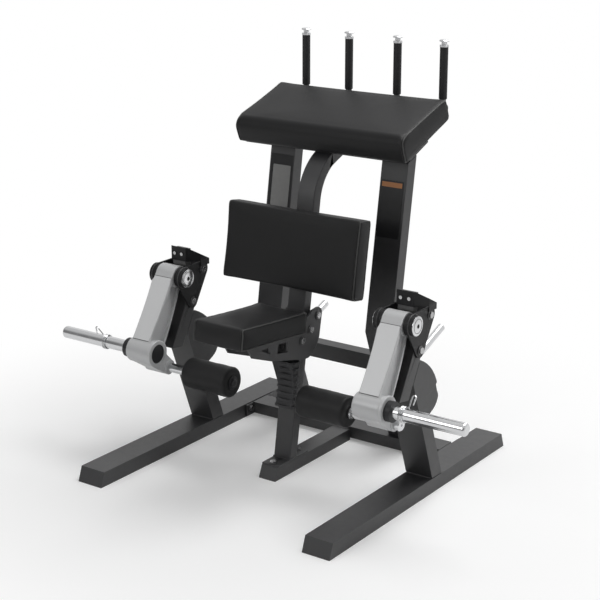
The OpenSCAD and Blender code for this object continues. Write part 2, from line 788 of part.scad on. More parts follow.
// Rubber stop on the leg, cut to the back rib of the resting arm
module rest_bumpers() {
    lap = 0.3;
    low = 290;
    high = 35;
    color(rubber_grey) both_sides() across(rail_offset - 22, rail_offset + 22) intersection() {
        in_lever() polygon([[arm_rear(high) + lap, -high], [arm_rear(low) + lap, -low], [300, -low], [300, -high]]);
        polygon([leg_toe + 38 * leg_up, leg_toe + 92 * leg_up, leg_toe + 92 * leg_up - 150 * leg_back,
            leg_toe + 38 * leg_up - 150 * leg_back]);
    }
}

module pivot_shafts() {
    color(satin_silver) both_sides() rod_x(pivot, rail_offset - boss_in, rail_offset + boss_out, shaft_r);
}

// Domed cap with a hexagon recess, its seat at z = 0
module pivot_cap() {
    dome = 3;
    difference() {
        rotate_extrude() polygon(concat([[0, 0], [cap_r, 0], [cap_r, cap_t]],
            [for (i = [1:8]) [cap_r - 26 * i / 8, cap_t + dome * sin(90 * i / 8)]], [[0, cap_t + dome]]));
        translate([0, 0, 1.5]) cylinder(h = 10, r = 9, $fn = 6);
    }
}

module pivot_caps() {
    color(bright_chrome) both_sides() {
        translate([rail_offset + boss_out, pivot.x, pivot.y]) rotate([0, 90, 0]) pivot_cap();
        translate([rail_offset - boss_in, pivot.x, pivot.y]) rotate([0, -90, 0]) pivot_cap();
    }
}

// Plate parallel to the arm's front face, reaching from there back by depth
module arm_plate(depth) {
    translate([rail_offset, pivot.x, pivot.y]) rotate([90 - arm_lean, 0, 0])
        translate([0, 0, panel_reach - depth]) linear_extrude(depth) children();
}

// Front view of a layer of the arm, drawn as [across, up]: straight by the hub, then drifting sideways
module arm_layer(hub_w, top_w, low_w, flare) {
    steps = 8;
    centre = curve3([0, -shoulder], [0.85 * arm_drift, -shoulder - 100], [arm_drift, -arm_foot], steps);
    half = [for (i = [0:steps]) (top_w + (low_w - top_w) * i / steps) / 2];
    polygon(concat(
        [[-hub_w / 2, 0], [-hub_w / 2, 14 - shoulder]],
        [for (i = [0:steps]) centre[i] - [half[i], 0]],
        [centre[steps] + [half[steps] + flare, 0], centre[steps] + [half[steps] + flare / 3, 14]],
        [for (i = [steps - 1:-1:0]) centre[i] + [half[i], 0]],
        [[hub_w / 2, 14 - shoulder], [hub_w / 2, 0]]));
}

// Barrel: rounded at its plain end, a ring at the other
module arm_barrel() {
    round_r = 8;
    ring_w = 12;
    ring_r = barrel_r + ring_step;
    translate([rail_offset, barrel.x, barrel.y]) rotate([0, 90, 0]) rotate_extrude() polygon(concat(
        [[0, -barrel_plain], [barrel_r - round_r, -barrel_plain]],
        [for (i = [1:6]) [barrel_r - round_r + round_r * sin(15 * i),
            round_r - barrel_plain - round_r * cos(15 * i)]],
        [[barrel_r, barrel_ring - ring_w - ring_step], [ring_r, barrel_ring - ring_w],
         [ring_r, barrel_ring - 2], [ring_r - 2, barrel_ring], [0, barrel_ring]]));
}

// Web from the barrel to the rod clamp, and the clamp itself
module arm_clamp() {
    apart = roller - barrel;
    lean = acos((barrel_r - clamp_r) / norm(apart));
    facing = atan2(apart.y, apart.x);
    edge = 3;
    across(rail_offset - clamp_left / 2 + 2, rail_offset + clamp_right - edge - 2) polygon([
        for (s = [1, -1], end = s > 0 ? [0, 1] : [1, 0])
            [barrel, roller][end] + ([barrel_r, clamp_r][end] - 1) * [cos(facing + s * lean), sin(facing + s * lean)]]);
    translate([rail_offset, roller.x, roller.y]) rotate([0, 90, 0]) rotate_extrude() polygon([
        [0, -clamp_left], [clamp_r - edge, -clamp_left], [clamp_r, edge - clamp_left],
        [clamp_r, clamp_right - edge], [clamp_r - edge, clamp_right], [0, clamp_right]]);
}

// Cast arm, the same part on both sides: hub, front panel, waist, back rib, barrel and rod clamp
module arm() {
    bore_r = shaft_r + run_gap + bush_wall + seat_gap;
    half = arm_w / 2;
    difference() {
        union() {
            rod_x(pivot, rail_offset - half, rail_offset + half, hub_r);
            arm_plate(panel_t) arm_layer(arm_w - 2 * hub_lip, panel_w, panel_low_w, 12);
            intersection() {
                arm_plate(panel_reach + 100) arm_layer(waist_w, waist_w, waist_w, 0);
                across(rail_offset - arm_w, rail_offset + arm_w) in_lever() polygon([
                    [1 - panel_reach, -15], [1 - panel_reach, -arm_foot],
                    [arm_rear(arm_foot) - 1, -arm_foot], [arm_rear(20) - 1, -20]]);
            }
            intersection() {
                arm_plate(panel_reach + 100) arm_layer(rib_w, rib_w, rib_w, 0);
                across(rail_offset - arm_w, rail_offset + arm_w) in_lever() polygon([
                    [arm_rear(20) - rib_t, -20], [arm_rear(arm_foot) - rib_t, -arm_foot],
                    [arm_rear(arm_foot), -arm_foot], [arm_rear(20), -20]]);
            }
            arm_barrel();
            arm_clamp();
        }
        rod_x(pivot, rail_offset - half - 1, rail_offset + half + 1, bore_r);
        rod_x(barrel, rail_offset - barrel_plain - 1, rail_offset + barrel_ring + 1, sleeve_r + seat_gap);
        rod_x(roller, rail_offset - clamp_left - 1, rail_offset + clamp_right + 1, rod_r + seat_gap);
    }
}

module left_arm() {
    color(satin_silver) translate([-2 * rail_offset, 0, 0]) arm();
}

module right_arm() {
    color(satin_silver) arm();
}

module bushes() {
    inner = shaft_r + run_gap;
    half = arm_w / 2;
    for (x = [-half, half - bush_len]) difference() {
        rod_x(pivot, rail_offset + x, rail_offset + x + bush_len, inner + bush_wall);
        rod_x(pivot, rail_offset + x - 1, rail_offset + x + bush_len + 1, inner);
    }
}

module left_bushes() {
    color("peru") side(left) bushes();
}

module right_bushes() {
    color("peru") side(right) bushes();
}

horn_seat = 16;

module horn_sleeve(s) {
    inner = rail_offset + barrel_ends(s)[0];
    difference() {
        rod_x(barrel, inner + 4, rail_offset + sleeve_end(s), sleeve_r);
        rod_x(barrel, inner + horn_seat, rail_offset + sleeve_end(s) + 1, horn_r + seat_gap);
    }
}

module left_horn_sleeve() {
    color(board_black) side(left) horn_sleeve(left);
}

module right_horn_sleeve() {
    color(board_black) side(right) horn_sleeve(right);
}

// Horn: steel tube with a rounded tip
module weight_horn(s) {
    x0 = barrel_ends(s)[0] + horn_seat;
    x1 = horn_reach;
    tip = 10;
    translate([rail_offset, barrel.x, barrel.y]) rotate([0, 90, 0]) rotate_extrude() polygon(concat(
        [[horn_r - horn_wall, x0], [horn_r, x0], [horn_r, x1 - tip]],
        [for (i = [1:8]) [horn_r - tip + tip * cos(90 * i / 8), x1 - tip + tip * sin(90 * i / 8)]],
        [[0, x1], [0, x1 - 14], [horn_r - horn_wall, x1 - 14]]));
}

module left_weight_horn() {
    color(bright_chrome) side(left) weight_horn(left);
}

module right_weight_horn() {
    color(bright_chrome) side(right) weight_horn(right);
}

// Roller rod with its shoulder ring beside the foam and a spacer outside the clamp where there is room
module roller_rod(s) {
    spacer = clamp_end(s) + 3;
    rod_x(roller, foam_in + 2, rail_offset + rod_out, rod_r);
    rod_x(roller, foam_in + foam_len + 1, foam_in + foam_len + 9, rod_r + 6);
    if (rod_out > spacer + 5) rod_x(roller, rail_offset + spacer, rail_offset + rod_out, rod_r + 3);
}

module left_roller_rod() {
    color(bright_chrome) side(left) roller_rod(left);
}

module right_roller_rod() {
    color(bright_chrome) side(right) roller_rod(right);
}

module rod_caps() {
    translate([rail_offset + rod_out, roller.x, roller.y]) rotate([0, 90, 0]) difference() {
        rotate_extrude() polygon([[0, 0], [rod_r + 5, 0], [rod_r + 5, 4], [rod_r + 2, 7], [0, 7]]);
        translate([0, 0, 3]) cylinder(h = 5, r = 6);
    }
}

module left_rod_caps() {
    color(bright_chrome) side(left) rod_caps();
}

module right_rod_caps() {
    color(bright_chrome) side(right) rod_caps();
}

// Plastic core in the foam, closed by a stepped plug at its inner end
module roller_core() {
    inner = rod_r + run_gap;
    outer = inner + core_wall;
    translate([foam_in, roller.x, roller.y]) rotate([0, 90, 0]) rotate_extrude() polygon([
        [0, -9], [inner - 6, -9], [inner - 3, -7], [inner - 3, -4], [outer + 4, -3], [outer + 4, -0.5],
        [outer, -0.5], [outer, foam_len], [inner, foam_len], [inner, 1], [0, 1]]);
}

module left_roller_core() {
    color("dimgray") side(left) roller_core();
}

module right_roller_core() {
    color("dimgray") side(right) roller_core();
}

// Foam roller with rounded ends
module foam_roller() {
    inner = rod_r + run_gap + core_wall + seat_gap;
    round_r = 12;
    translate([foam_in, roller.x, roller.y]) rotate([0, 90, 0]) rotate_extrude() polygon(concat(
        [[inner, 1.5], [foam_r - round_r, 0]],
        [for (i = [0:6]) [foam_r - round_r + round_r * sin(15 * i), round_r - round_r * cos(15 * i)]],
        [for (i = [0:6]) [foam_r - round_r + round_r * cos(15 * i), foam_len - round_r + round_r * sin(15 * i)]],
        [[inner, foam_len - 1.5]]));
}

module left_foam_roller() {
    color(pad_black) side(left) foam_roller();
}

module right_foam_roller() {
    color(pad_black) side(right) foam_roller();
}

wire_sides = 6;
collar_steps = 24 * collar_turns;
handle_h = 44;
handle_w = 15;
collar_path = concat(
    [for (i = [0:collar_steps]) let (t = 90 + 360 * i / 24)
        [collar_pitch * i / 24, collar_r * cos(t), collar_r * sin(t)]],
    [for (i = [1:5]) [collar_pitch * collar_turns + i * 1.2, -2.8 * i, collar_r + i * handle_h / 6]],
    [for (a = [0:30:180]) [collar_pitch * collar_turns + 6 + handle_w / 2 - handle_w / 2 * cos(a), -14,
        collar_r + handle_h - 6 + 8 * sin(a)]],
    [for (i = [1:4]) [collar_pitch * collar_turns + 6 + handle_w, -14, collar_r + handle_h - 6 - i * 7]]);

function unit(v) = v / norm(v);
function sweep_ring(path, i) = let (
    n = len(path) - 1,
    along = unit(path[min(i + 1, n)] - path[max(i - 1, 0)]),
    radial = unit([0, path[i].y, path[i].z]),
    flat = i > collar_steps ? [0, 1, 0] : radial,
    u = unit(flat - (flat * along) * along),
    v = cross(along, u))
    [for (k = [0:wire_sides - 1]) path[i] + wire_r * (cos(60 * k) * u + sin(60 * k) * v)];

module wire(path) {
    rings = [for (i = [0:len(path) - 1]) sweep_ring(path, i)];
    points = [for (r = rings) each r];
    n = len(path);
    faces = concat(
        [[for (k = [wire_sides - 1:-1:0]) k]],
        [for (i = [0:n - 2], k = [0:wire_sides - 1]) let (j = (k + 1) % wire_sides, b = i * wire_sides)
            each [[b + k, b + j, b + wire_sides + j], [b + k, b + wire_sides + j, b + wire_sides + k]]],
        [[for (k = [0:wire_sides - 1]) (n - 1) * wire_sides + k]]);
    polyhedron(points, faces);
}

collar_gap = min([for (i = [0:collar_steps], j = [0:len(collar_path) - 1])
    if (j > i + 12) norm(collar_path[i] - collar_path[j]) - 2 * wire_r]);
echo(collar_wire_gap = collar_gap);

// Spring clip: turns of wire round the horn and one looped handle
module spring_collar(s, rest, lean) {
    translate([rail_offset + sleeve_end(s) + rest, barrel.x, barrel.y]) rotate([lean, 0, 0]) wire(collar_path);
}

module left_spring_collar() {
    color(bright_chrome) side(left) spring_collar(left, collar_rest_left, 15);
}

module right_spring_collar() {
    color(bright_chrome) side(right) spring_collar(right, collar_rest_right, -40);
}

// Handle bar lying on two square arms behind the chest pad, with four uprights
module handle_bar() {
    arm_from = post_v + head_back + head_len;
    color(frame_grey) {
        rod_x([grip_y, bar_z], -grip_out - 16, grip_out + 16, bar_r);
        both_sides() on_pad_slope() translate([post_offset - bar_arm / 2, arm_from, -bar_arm])
            cube([bar_arm, bar_v + bar_r / 2 - arm_from, bar_arm]);
        both_sides() for (x = [grip_in, grip_out])
            translate([x, grip_y, bar_z]) cylinder(h = grip_top_z - face_gap - bar_z, r = upright_r);
    }
}

module hand_grips() {
    color(pad_black) both_sides() for (x = [grip_in, grip_out])
        translate([x, grip_y, grip_low_z]) rotate_extrude() polygon([
            [upright_r + seat_gap, 0], [grip_r - 1, 0], [grip_r, 1], [grip_r, grip_len - 1],
            [grip_r - 1, grip_len], [upright_r + seat_gap, grip_len]]);
}

module grip_caps() {
    color(bright_chrome) both_sides() for (x = [grip_in, grip_out])
        translate([x, grip_y, grip_top_z]) rotate_extrude() polygon([
            [0, 0], [grip_r + 1.5, 0], [grip_r + 1.5, 8], [11, 10], [11, 19], [20, 22], [20, 25],
            [17, 28], [0, 28.5]]);
}

module base_bolts() {
    color(bright_chrome) {
        for (y = foot_bolts) translate([0, y, center_rail_h + foot_t]) hex_bolt(bolt_r, 8, foot_t + 16);
        both_sides() for (p = flange_bolts)
            translate([rail_in - flange_t, p.x, p.y]) rotate([0, -90, 0]) hex_bolt(bolt_r, 8, flange_t + 16);
    }
}

module bracket_bolts() {
    out = plate_in + bracket_t;
    color(bright_chrome) both_sides() for (p = leg_bolts) {
        translate([rail_offset + out, p.x, p.y]) rotate([0, 90, 0]) hex_bolt(bolt_r, 9, 2 * out);
        translate([rail_offset - out, p.x, p.y]) rotate([0, -90, 0]) hex_bolt(bolt_r, 9, 0);
    }
}

module kneel_bolts() {
    color(bright_chrome) for (p = kneel_bolt_at) {
        translate([kneel_plate_x, p.x, p.y]) rotate([0, 90, 0]) hex_bolt(bolt_r, 8, 2 * kneel_plate_x);
        translate([-kneel_plate_x, p.x, p.y]) rotate([0, -90, 0]) hex_bolt(bolt_r, 8, 0);
    }
}

left_rail();
right_rail();
center_rail();
lower_cross_beam();
upper_cross_beam();
left_post();
right_post();
center_column();
column_foot();
left_lower_leg();
right_lower_leg();
left_upper_leg();
right_upper_leg();
leg_gussets();
left_lever_bracket();
right_lever_bracket();
stop_guards();
stop_blocks();
rest_bumpers();
pivot_shafts();
pivot_caps();
head_tubes();
chest_board();
chest_pad();
thigh_board();
thigh_pad();
kneel_bracket();
kneel_board();
kneel_pad();
shin_guard();
handle_bar();
hand_grips();
grip_caps();
storage_pegs();
base_bolts();
bracket_bolts();
kneel_bolts();
guard_screws();
left_arm();
right_arm();
left_bushes();
right_bushes();
left_horn_sleeve();
right_horn_sleeve();
left_weight_horn();
right_weight_horn();
left_roller_rod();
right_roller_rod();
left_rod_caps();
right_rod_caps();
left_roller_core();
right_roller_core();
left_foam_roller();
right_foam_roller();
left_spring_collar();
right_spring_collar();
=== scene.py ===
import bpy
import json
import math
import numpy as np
from mathutils import Matrix, Vector
from mathutils.bvhtree import BVHTree
from mathutils.kdtree import KDTree

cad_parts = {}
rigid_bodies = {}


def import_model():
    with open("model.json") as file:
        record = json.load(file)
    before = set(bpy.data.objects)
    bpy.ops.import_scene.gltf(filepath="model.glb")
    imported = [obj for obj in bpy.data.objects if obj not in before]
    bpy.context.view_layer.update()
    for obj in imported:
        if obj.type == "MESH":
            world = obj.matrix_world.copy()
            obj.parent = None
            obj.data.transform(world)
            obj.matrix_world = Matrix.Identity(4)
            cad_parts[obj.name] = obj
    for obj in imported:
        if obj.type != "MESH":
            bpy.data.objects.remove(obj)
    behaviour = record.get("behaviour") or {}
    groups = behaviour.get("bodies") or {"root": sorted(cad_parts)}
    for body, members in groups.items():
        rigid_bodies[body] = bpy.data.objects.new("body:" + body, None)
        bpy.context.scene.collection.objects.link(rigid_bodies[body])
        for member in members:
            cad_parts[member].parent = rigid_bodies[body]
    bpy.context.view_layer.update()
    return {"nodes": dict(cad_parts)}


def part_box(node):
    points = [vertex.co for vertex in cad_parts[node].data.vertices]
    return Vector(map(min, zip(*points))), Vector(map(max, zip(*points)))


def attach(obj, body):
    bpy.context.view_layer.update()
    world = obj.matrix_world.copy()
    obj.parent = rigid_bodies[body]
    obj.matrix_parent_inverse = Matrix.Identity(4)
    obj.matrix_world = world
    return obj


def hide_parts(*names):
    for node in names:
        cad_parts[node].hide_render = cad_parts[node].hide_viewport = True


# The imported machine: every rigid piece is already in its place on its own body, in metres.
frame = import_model()
nodes = frame["nodes"]
scene = bpy.context.scene

# Camera: a studio portrait lens, standing to the right in front of the machine, 2.4 m above the
# floor, turned 35 degrees round and looking 17 degrees down.
camera_turn = math.radians(35.241)
camera_dip = math.radians(17.013)
camera_data = bpy.data.cameras.new("studio_camera")
camera_data.lens = 90.95
camera_data.sensor_width = 36
camera_data.clip_end = 100
camera = bpy.data.objects.new("studio_camera", camera_data)
camera.location = (3.3038, -4.6552, 2.4404)
camera.rotation_euler = (math.pi / 2 - camera_dip, 0, camera_turn)
scene.collection.objects.link(camera)
scene.camera = camera


# Studio floor: one wide pale matt sheet. It keeps the soft shadow under the machine and runs out
# into plain white a few steps away, so that no edge of it shows.
def node_maker(owner):
    owner.use_nodes = True
    tree = owner.node_tree
    tree.nodes.clear()

    def make(kind, inputs=(), **facts):
        made = tree.nodes.new(kind)
        for name, value in facts.items():
            setattr(made, name, value)
        for socket, value in inputs:
            if hasattr(value, "is_output"):
                tree.links.new(value, made.inputs[socket])
            else:
                made.inputs[socket].default_value = value
        return made
    return make


white = (1, 1, 1, 1)
paper_white = (0.86, 0.86, 0.86, 1)
paper_glow, mirror_share = 0.2, 0.5
paper_end, white_start = 0.8, 2.1
floor_half = 14
floor_paper = bpy.data.materials.new("floor_paper")
make = node_maker(floor_paper)
paper = make("ShaderNodeBsdfDiffuse", [("Color", paper_white)])
glow = make("ShaderNodeEmission", [("Color", white), ("Strength", paper_glow)])
lifted = make("ShaderNodeAddShader", [(0, paper.outputs[0]), (1, glow.outputs[0])])
bare_white = make("ShaderNodeEmission", [("Color", white), ("Strength", 1)])
floor_place = make("ShaderNodeTexCoord").outputs["Object"]
floor_reach = make("ShaderNodeVectorMath", [(0, floor_place)], operation="LENGTH")
run_out = make("ShaderNodeMapRange", [("Value", floor_reach.outputs["Value"]), ("From Min", paper_end),
    ("From Max", white_start)], interpolation_type="SMOOTHSTEP")
far_blend = make("ShaderNodeMixShader", [(0, run_out.outputs["Result"]), (1, lifted.outputs[0]),
    (2, bare_white.outputs[0])])
rays = make("ShaderNodeLightPath")
seen = make("ShaderNodeMath", [(0, rays.outputs["Is Glossy Ray"]), (1, mirror_share),
    (2, rays.outputs["Is Camera Ray"])], operation="MULTIPLY_ADD")
floor_blend = make("ShaderNodeMixShader", [(0, seen.outputs[0]), (1, paper.outputs[0]),
    (2, far_blend.outputs[0])])
make("ShaderNodeOutputMaterial", [("Surface", floor_blend.outputs[0])])
floor_mesh = bpy.data.meshes.new("studio_floor")
floor_mesh.from_pydata([(-floor_half, -floor_half, 0), (floor_half, -floor_half, 0),
    (floor_half, floor_half, 0), (-floor_half, floor_half, 0)], [], [(0, 1, 2, 3)])
floor_mesh.materials.append(floor_paper)
studio_floor = bpy.data.objects.new("studio_floor", floor_mesh)
scene.collection.objects.link(studio_floor)

# Studio light: a white tent behind and above, open to a dim room at the front, which the camera
# sees as pure white, and four large soft boxes: overhead, in front, on the right and behind.
tent_light, dim_room = 0.235, 0.26
world = bpy.data.worlds.new("white_tent")
scene.world = world
make = node_maker(world)
tent = make("ShaderNodeBackground", [("Color", white), ("Strength", tent_light)])
backdrop = make("ShaderNodeBackground", [("Color", white), ("Strength", 1)])
tent_way = make("ShaderNodeTexCoord").outputs["Generated"]
tent_axes = make("ShaderNodeSeparateXYZ", [(0, tent_way)])
tent_roof = make("ShaderNodeMapRange", [("Value", tent_axes.outputs["Z"]), ("From Min", 0.25),
    ("From Max", 0.85), ("To Max", 0.85)], interpolation_type="SMOOTHSTEP")
tent_back = make("ShaderNodeMapRange", [("Value", tent_axes.outputs["Y"]), ("From Min", -0.25),
    ("From Max", 0.55)], interpolation_type="SMOOTHSTEP")
tent_glow = make("ShaderNodeMath", [(0, tent_roof.outputs["Result"]), (1, tent_back.outputs["Result"])],
    operation="MAXIMUM")
tent_least = make("ShaderNodeMath", [(0, tent_glow.outputs[0]), (1, dim_room)], operation="MAXIMUM")
mirrored_tent = make("ShaderNodeBackground", [("Strength", tent_least.outputs[0])])
rays = make("ShaderNodeLightPath")
mirrored = make("ShaderNodeMath", [(0, rays.outputs["Is Glossy Ray"]),
    (1, rays.outputs["Is Transmission Ray"])], operation="MAXIMUM")
tent_blend = make("ShaderNodeMixShader", [(0, mirrored.outputs[0]), (1, tent.outputs[0]),
    (2, mirrored_tent.outputs[0])])
seen_blend = make("ShaderNodeMixShader", [(0, rays.outputs["Is Camera Ray"]), (1, tent_blend.outputs[0]),
    (2, backdrop.outputs[0])])
make("ShaderNodeOutputWorld", [("Surface", seen_blend.outputs[0])])
soft_boxes = [
    ("top_box", (0.9, 1.1, 4.6), (0, -0.1, 0.7), 2.6, 121),
    ("front_box", (-1.4, -4.6, 3.0), (0, 0, 0.7), 2.2, 49),
    ("right_box", (4.6, -0.4, 2.0), (0, 0, 0.7), 2.2, 8),
    ("back_box", (0.6, 4.2, 3.6), (0, 0, 0.9), 3.0, 50),
]
for name, place, aim, width, power in soft_boxes:
    light = bpy.data.lights.new(name, "AREA")
    light.shape = "SQUARE"
    light.size = width
    light.energy = power
    lamp = bpy.data.objects.new(name, light)
    lamp.location = place
    lamp.rotation_euler = (Vector(aim) - Vector(place)).to_track_quat("-Z", "Y").to_euler()
    scene.collection.objects.link(lamp)
scene.view_settings.view_transform = "Standard"


# Side rails, centre rail and cross beams: rectangular steel tube with welded end plates, rounded
# along its edges by the mill, and coated with a matt dark grey powder that has a fine grain.
def new_finish(name):
    finish = bpy.data.materials.new(name)
    make = node_maker(finish)
    return finish, make, make("ShaderNodeTexCoord").outputs["Object"]


def noise(make, place, scale, detail):
    return make("ShaderNodeTexNoise", [("Vector", place), ("Scale", scale),
        ("Detail", detail)]).outputs["Fac"]


def span(make, value, low, high, start=0.0, stop=1.0):
    return make("ShaderNodeMapRange", [("Value", value), ("From Min", start), ("From Max", stop),
        ("To Min", low), ("To Max", high)]).outputs[0]


def joined(make, first, second, operation="ADD"):
    return make("ShaderNodeMath", [(0, first), (1, second)], operation=operation).outputs[0]


def toned(make, tone, shade):
    return make("ShaderNodeVectorMath", [(0, tone), (1, shade)], operation="MULTIPLY").outputs[0]


def bumped(make, height, distance, strength=1.0):
    return make("ShaderNodeBump", [("Height", height), ("Distance", distance),
        ("Strength", strength)]).outputs[0]


def grain_bump(make, place, fine, coarse, distance):
    height = joined(make, noise(make, place, fine, 3.0), noise(make, place, coarse, 2.0))
    return bumped(make, height, distance)


def close_finish(make, colour, gloss, bump, extra=()):
    shader = make("ShaderNodeBsdfPrincipled", [("Base Color", colour), ("Roughness", gloss),
        ("Normal", bump), *extra])
    make("ShaderNodeOutputMaterial", [("Surface", shader.outputs[0])])


def powder_coat(name, tone, sheen, shine=0.8):
    coat, make, place = new_finish(name)
    tint = span(make, noise(make, place, 5.0, 4.0), 0.9, 1.12, start=0.3, stop=0.7)
    edge = make("ShaderNodeNewGeometry").outputs["Pointiness"]
    worn = span(make, edge, 0.0, 0.35, start=0.52, stop=0.60)
    patch = noise(make, place, 38.0, 5.0)
    shade = joined(make, tint, joined(make, worn, patch, "MULTIPLY"))
    gloss = span(make, patch, sheen - 0.05, sheen + 0.07)
    bump = grain_bump(make, place, 1400.0, 420.0, 0.00012)
    close_finish(make, toned(make, tone, shade), gloss, bump, [("Specular IOR Level", shine)])
    return coat


def finish_node(name, finish, edge=0.0):
    piece = nodes[name]
    piece.data.materials.clear()
    piece.data.materials.append(finish)
    if edge > 0:
        weld = piece.modifiers.new("weld", "WELD")
        weld.merge_threshold = 0.00002
        rounding = piece.modifiers.new("rounded_edges", "BEVEL")
        rounding.width = edge
        rounding.segments = 3
        rounding.limit_method = "ANGLE"
        rounding.angle_limit = math.radians(35)
        rounding.use_clamp_overlap = True
        rounding.miter_outer = "MITER_ARC"
        even = piece.modifiers.new("even_normals", "WEIGHTED_NORMAL")
        even.mode = "FACE_AREA"
        even.weight = 60


frame_coat = powder_coat("frame_coat", (0.0250, 0.0250, 0.0265), 0.43)
for tube in ("left_rail", "right_rail", "center_rail", "upper_cross_beam"):
    finish_node(tube, frame_coat, 0.004)
finish_node("lower_cross_beam", frame_coat, 0.002)


# Base bolts, washers and the column's foot plate: a coated steel plate, held with zinc plated
# bolts on blackened washers. Two more at each end of the lower cross beam hold it to the rails.
def bright_metal(name, tone, rough):
    metal, make, place = new_finish(name)
    smear = noise(make, place, 18.0, 6.0)
    gloss = span(make, smear, rough * 0.7, rough * 1.5, start=0.35, stop=0.7)
    tint = span(make, smear, 0.94, 1.03)
    bump = bumped(make, noise(make, place, 700.0, 3.0), 0.000004, 0.4)
    close_finish(make, toned(make, tone, tint), gloss, bump, [("Metallic", 1.0)])
    return metal


def mesh_piece(name, parts, finish, body, smooth=True):
    verts, faces = [], []
    for part_verts, part_faces in parts:
        start = len(verts)
        verts += [tuple(v) for v in part_verts]
        faces += [tuple(start + k for k in face) for face in part_faces]
    mesh = bpy.data.meshes.new(name)
    mesh.from_pydata(verts, [], faces)
    mesh.update()
    mesh.materials.append(finish)
    for face in mesh.polygons:
        face.use_smooth = smooth
    piece = bpy.data.objects.new(name, mesh)
    scene.collection.objects.link(piece)
    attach(piece, body)
    return piece


def circle(count):
    turns = [2 * math.pi * k / count for k in range(count)]
    return [(math.cos(turn), math.sin(turn)) for turn in turns]


def band(here, there, count):
    return [(here + k, here + (k + 1) % count, there + (k + 1) % count, there + k) for k in range(count)]


def washer(centre, axis):
    inner, outer, thick, lip, around = 0.0112, 0.0185, 0.0022, 0.0005, 32
    way = Vector(axis)
    side = way.orthogonal().normalized()
    up = way.cross(side)
    ring = [(inner, 0), (inner, thick), (outer - lip, thick), (outer, thick - lip), (outer, 0)]
    verts = [Vector(centre) + (side * x + up * y) * r + way * h for r, h in ring for x, y in circle(around)]
    faces = []
    for i in range(len(ring)):
        faces += band(i * around, (i + 1) % len(ring) * around, around)
    return verts, faces


foot_plate_top, foot_bolt_y = 0.059, (-0.1649, 0.0028)
beam_end_x, beam_bolt_y, beam_bolt_z = 0.472, (0.3165, 0.4595), 0.034
zinc_plate = bright_metal("zinc_plate", (0.5, 0.5, 0.505), 0.22)
washer_steel = powder_coat("washer_steel", (0.014, 0.014, 0.015), 0.35)
finish_node("column_foot", frame_coat, 0.0015)
finish_node("base_bolts", zinc_plate, 0.0006)
mesh_piece("base_washers",
    [washer((0, y, foot_plate_top), (0, 0, 1)) for y in foot_bolt_y]
    + [washer((hand * beam_end_x, y, beam_bolt_z), (-hand, 0, 0)) for hand in (-1, 1) for y in beam_bolt_y],
    washer_steel, "frame", smooth=False)


# Posts, column and head tubes: bent flat tube of the same steel and coat, welded to the lower
# beam and to each other with a rippled bead all round.
def tube_along(points, radius, closed=False, sides=8):
    verts, faces = [], []
    count = len(points)
    side = None
    for i, point in enumerate(points):
        before = points[i - 1] if closed or i > 0 else point
        after = points[(i + 1) % count] if closed or i < count - 1 else point
        ahead = (after - before).normalized()
        if side is None:
            side = ahead.orthogonal().normalized()
        side = (side - ahead * side.dot(ahead)).normalized()
        up = ahead.cross(side)
        thick = radius(i) if callable(radius) else radius
        verts += [point + (side * x + up * y) * thick for x, y in circle(sides)]
    for i in range(count if closed else count - 1):
        faces += band(i * sides, (i + 1) % count * sides, sides)
    if not closed:
        faces.append(tuple(range(sides - 1, -1, -1)))
        faces.append(tuple(range((count - 1) * sides, count * sides)))
    return verts, faces


def weld_bead(corners, closed=False):
    bead_r, ripple, ripple_turn, step = 0.0029, 0.13, 2.1, 0.003
    path = []
    ends = corners[1:] + corners[:1] if closed else corners[1:]
    for here, there in zip(corners, ends):
        here, there = Vector(here), Vector(there)
        pieces = max(2, round((there - here).length / step))
        path += [here.lerp(there, k / pieces) for k in range(pieces)]
    if not closed:
        path.append(Vector(corners[-1]))
    for _ in range(2):
        inner = [(path[i - 1] + path[i] * 2 + path[i + 1]) / 4 for i in range(1, len(path) - 1)]
        path = [path[0]] + inner + [path[-1]]
    return tube_along(path, lambda i: bead_r * (1 + ripple * math.sin(ripple_turn * i)), closed=closed)


for tube in ("left_post", "right_post", "center_column", "head_tubes"):
    finish_node(tube, frame_coat, 0.005)
post_in, post_out, post_front, post_back, post_seam_z = 0.208, 0.328, 0.3671, 0.4315, 0.0605
beam_front, beam_back, beam_low, beam_high = 0.237, 0.293, 0.374, 0.438
column_half, column_front, column_back, column_seam_z = 0.040, -0.1059, -0.0552, 0.0592
post_welds = []
for hand in (-1, 1):
    inner, outer = hand * post_in, hand * post_out
    post_welds.append(weld_bead([(inner, post_back, post_seam_z), (inner, post_front, post_seam_z),
        (outer, post_front, post_seam_z), (outer, post_back, post_seam_z)]))
    post_welds.append(weld_bead([(inner, beam_front, beam_low), (inner, beam_back, beam_low),
        (inner, beam_back, beam_high), (inner, beam_front, beam_high)], closed=True))
post_welds.append(weld_bead([(-column_half, column_front, column_seam_z),
    (column_half, column_front, column_seam_z), (column_half, column_back, column_seam_z),
    (-column_half, column_back, column_seam_z)], closed=True))
mesh_piece("post_weld_beads", post_welds, frame_coat, "frame")

# Storage pegs: round steel bar with a chrome plate, set in the rear of each post and tilted up, so
# that spare weight plates stay on them.
chrome_plate = bright_metal("chrome_plate", (0.74, 0.745, 0.755), 0.17)
finish_node("storage_pegs", chrome_plate, 0.001)


# Placards: a gloss black plate down the front of the left post with a bare pale grey panel on it,
# and a shorter black plate with a plain orange stripe on the right post, both stuck on flat.
def placard_film(name, tone, rough):
    film, make, place = new_finish(name)
    rub = noise(make, place, 60.0, 6.0)
    tint = span(make, rub, 0.9, 1.08)
    gloss = span(make, rub, rough - 0.05, rough + 0.08)
    close_finish(make, toned(make, tone, tint), gloss, grain_bump(make, place, 900.0, 90.0, 0.00002))
    return film


